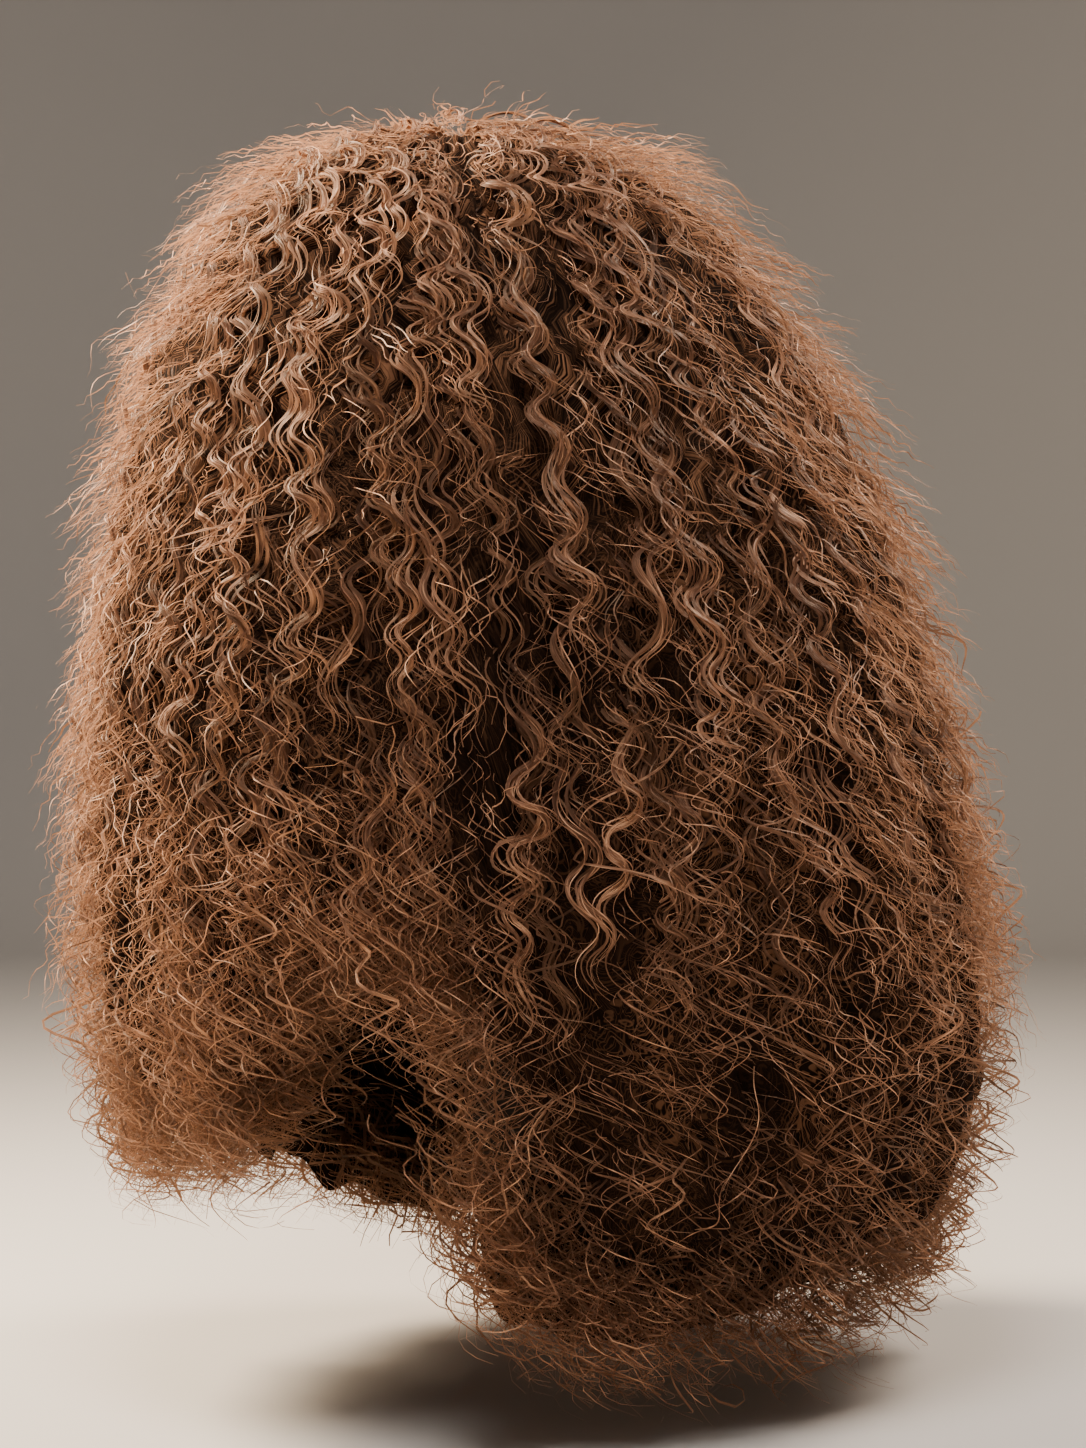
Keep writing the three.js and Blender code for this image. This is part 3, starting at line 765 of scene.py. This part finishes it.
def underMaterial():
    form = underFinish
    material, across, down = newMaterial("under_fibre", "fibres")
    u, v = across.chartPlaces("OFBake")
    ridge = across.maths("ABSOLUTE", across.maths("SINE", across * math.pi))
    slow = u.noise(u * form["slow"][0], v * form["slow"][1], 1.0)
    streak = u.noise(across * form["streaks"], down * form["streakLength"], 2.0)
    # painted shade: the streaks fade to the dark ground in the grooves between ridges
    waved = streak.between(0.44, 0.62) * (ridge**1.5 * 0.85 + 0.08)
    tangle = u.noise(u * form["tangle"][0], v * form["tangle"][1], 2.0, 1.0)
    crossing = u.noise(u * form["crossing"][0] + 9, v * form["crossing"][1] + 5, 1.0, 1.4)
    loops = u.maths("SINE", tangle * form["tangleLines"]).between(0.35, 0.95)
    crossed = u.maths("SINE", crossing * form["crossingLines"]).between(0.5, 0.98)
    loops = u.maths("MAXIMUM", loops, crossed * 0.8) * (slow.between(0.30, 0.62) * 0.5 + 0.08)
    below = (down + slow * 5).between(*form["tangled"])
    lines = u.node("ShaderNodeMix", {"data_type": "FLOAT"}, {0: below, 2: waved, 3: loops})
    beside = u.between(*form["parting"][:2]) * (1 - u.between(*form["parting"][2:]))
    inner = v.between(*form["innerLevel"]) * form["innerShade"]
    lines = lines * (1 - u.maths("MAXIMUM", beside * below * form["partingShade"], inner))
    # painted hairs over the painted shade of the ground
    colour = u.blend(lines, form["shadeGround"], form["light"])
    bump = u.node("ShaderNodeBump", {}, {
        "Strength": form["bump"], "Distance": form["bumpHeight"], "Height": lines})
    surface(u.node("ShaderNodeBsdfPrincipled", {}, {
        "Base Color": colour, "Roughness": form["roughness"], "Specular IOR Level": form["specular"],
        "Normal": bump}))
    return material


# stretch net: fine diamond mesh between the rows of weft, with a stitch line on each row
capFinish = {
    "thread": (0.060, 0.040, 0.029, 1), "hole": (0.008, 0.005, 0.004, 1), "row": (0.020, 0.012, 0.008, 1),
    "meshRound": 190.0, "meshDown": 120.0, "stitches": 1.5,  # stitches for each mesh
    "wear": (40, 26),  # noise cells round the cap and down it
    "roughness": 0.7, "roughChange": 0.2, "specular": 0.2, "bump": 0.6, "bumpHeight": 0.0004,
}


def capMaterial():
    form = capFinish
    material, u, v = newMaterial("cap_cloth")
    slant = u * form["meshRound"] + v * form["meshDown"]
    other = u * form["meshRound"] - v * form["meshDown"]
    net = u.maths("MAXIMUM", u.maths("COSINE", slant * fullTurn), u.maths("COSINE", other * fullTurn))
    thread = net.between(0.35, 0.75)
    row = u.maths("COSINE", v * (2 * capForm["wefts"] * fullTurn)).between(-0.35, -0.85)
    stitch = u.maths("SINE", u * (form["meshRound"] * form["stitches"] * fullTurn)).between(-0.2, 0.6)
    wear = u.noise(u * form["wear"][0], v * form["wear"][1], 3.0)
    cloth = u.blend(thread * (wear * 0.7 + 0.5), form["hole"], form["thread"])
    cloth = u.blend(row * (stitch * 0.4 + 0.6), cloth, form["row"])
    height = thread * 0.5 + row * (stitch * 0.5 + 0.5)
    bump = u.node("ShaderNodeBump", {}, {
        "Strength": form["bump"], "Distance": form["bumpHeight"], "Height": height})
    surface(u.node("ShaderNodeBsdfPrincipled", {}, {
        "Base Color": cloth, "Roughness": wear * form["roughChange"] + form["roughness"],
        "Specular IOR Level": form["specular"], "Normal": bump}))
    return material


# camera at the height of the hair's middle, half way round to the wearer's left
view = {
    "azimuth": 45.0, "distance": 1.0, "height": -0.161, "aside": 0.0277,
    "lens": 74.6, "sensor": 36, "near": 0.01,  # millimetres, millimetres, metres
}
viewTurn = math.radians(view["azimuth"])
viewRight = np.array([math.cos(viewTurn), math.sin(viewTurn), 0.0])
viewBack = np.array([-math.sin(viewTurn), math.cos(viewTurn), 0.0])
upward = np.array([0.0, 0.0, 1.0])


def makeCamera():
    lens = bpy.data.cameras.new("camera")
    lens.lens, lens.sensor_width, lens.clip_start = view["lens"], view["sensor"], view["near"]
    camera = bpy.data.objects.new("camera", lens)
    camera.location = view["aside"] * viewRight - view["distance"] * viewBack + view["height"] * upward
    camera.rotation_euler = (math.pi / 2, 0, viewTurn)
    bpy.context.scene.collection.objects.link(camera)
    bpy.context.scene.camera = camera


# pale paper all round: a profile of floor, bend and wall turned about the middle of the room
stage = {
    "floor": -0.3860, "middle": 0.5, "reach": 2.0, "bend": 0.6, "bendRows": 12, "tall": 2.2, "columns": 96,
    "tone": (0.46, 0.447, 0.430, 1), "roughness": 0.9,
}


def makeStage():
    bend = np.linspace(0, math.pi / 2, stage["bendRows"])
    wall = stage["reach"] + stage["bend"]
    curve = stage["reach"] + stage["bend"] * np.sin(bend)
    radius = np.concatenate([[stage["middle"]], curve, [wall]])[:, None]
    rise = np.concatenate([[0.0], stage["bend"] * (1 - np.cos(bend)), [stage["tall"]]])[:, None]
    turned = (np.arange(stage["columns"]) / stage["columns"] * fullTurn)[None, :]
    x, y, z = np.broadcast_arrays(radius * np.cos(turned), radius * np.sin(turned), stage["floor"] + rise)
    ids = np.arange(radius.size * turned.size).reshape(radius.size, turned.size)
    beside = np.roll(ids, -1, 1)
    quads = np.stack([ids[:-1], ids[1:], beside[1:], beside[:-1]], -1).reshape(-1, 4)
    faces = [quads, ids[:1]]
    chart = [np.zeros((*f.shape, 2)) for f in faces]  # one plain tone all over
    floor = meshPiece("floor", np.stack([x, y, z], -1).reshape(-1, 3), faces, {"OFBake": chart})
    material, u, v = newMaterial("stage_paper")
    surface(u.node("ShaderNodeBsdfPrincipled", {}, {
        "Base Color": stage["tone"], "Roughness": stage["roughness"]}))
    floor.data.materials.append(material)


# soft lights: right, back and up from the cap's crown, size, watts, colour
lights = {
    "key_left": (-0.56, 0.15, 0.42, 0.38, 42, (1.0, 0.79, 0.57)),
    "top_front": (-0.10, -0.75, 1.02, 0.55, 25, (1.0, 0.92, 0.86)),
    "rim_right": (0.66, 0.28, 0.62, 0.42, 20, (1.0, 0.83, 0.68)),
}
lightAim = Vector((0, 0.03, -0.10))
world = {"colour": (0.95, 0.96, 1.0, 1), "strength": 0.10}


def makeLights():
    for name, (right, back, rise, size, watts, colour) in lights.items():
        lamp = bpy.data.lights.new(name, "AREA")
        lamp.shape, lamp.size, lamp.energy, lamp.color = "DISK", size, watts, colour
        holder = bpy.data.objects.new(name, lamp)
        holder.location = right * viewRight + back * viewBack + rise * upward
        holder.rotation_euler = (lightAim - holder.location).to_track_quat("-Z", "Y").to_euler()
        bpy.context.scene.collection.objects.link(holder)
    air = bpy.data.worlds.new("studio")
    air.use_nodes = True
    background = air.node_tree.nodes["Background"].inputs
    background["Color"].default_value = world["colour"]
    background["Strength"].default_value = world["strength"]
    bpy.context.scene.world = air


makeCamera()
store = CurlStore()
makeWavedLocks(store)
for form in tufts:
    makeTufts(store, form)
print("curls laid")

fibres = hairMaterial("curl_fibre", False), hairMaterial("lock_fibre", True)
added = 0
for number, (name, solids, stop) in enumerate(pieces):
    piece = store.mesh(number, name)
    for fibre in fibres:
        piece.data.materials.append(fibre)
    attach(piece, "root")
    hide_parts(*solids)
    added += triangles(piece)
    print(name, "has", triangles(piece), "triangles")

mass = makeUnderHair()
mass.data.materials.append(underMaterial())
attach(mass, "root")
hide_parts(*hairSolids)

cap = makeCap()
cap.data.materials.append(capMaterial())
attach(cap, "root")
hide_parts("cap")
added += triangles(mass) + triangles(cap)
print("under hair has", triangles(mass), "triangles, the cap", triangles(cap), "and all", added)

makeStage()
makeLights()
print("stage and lights set")
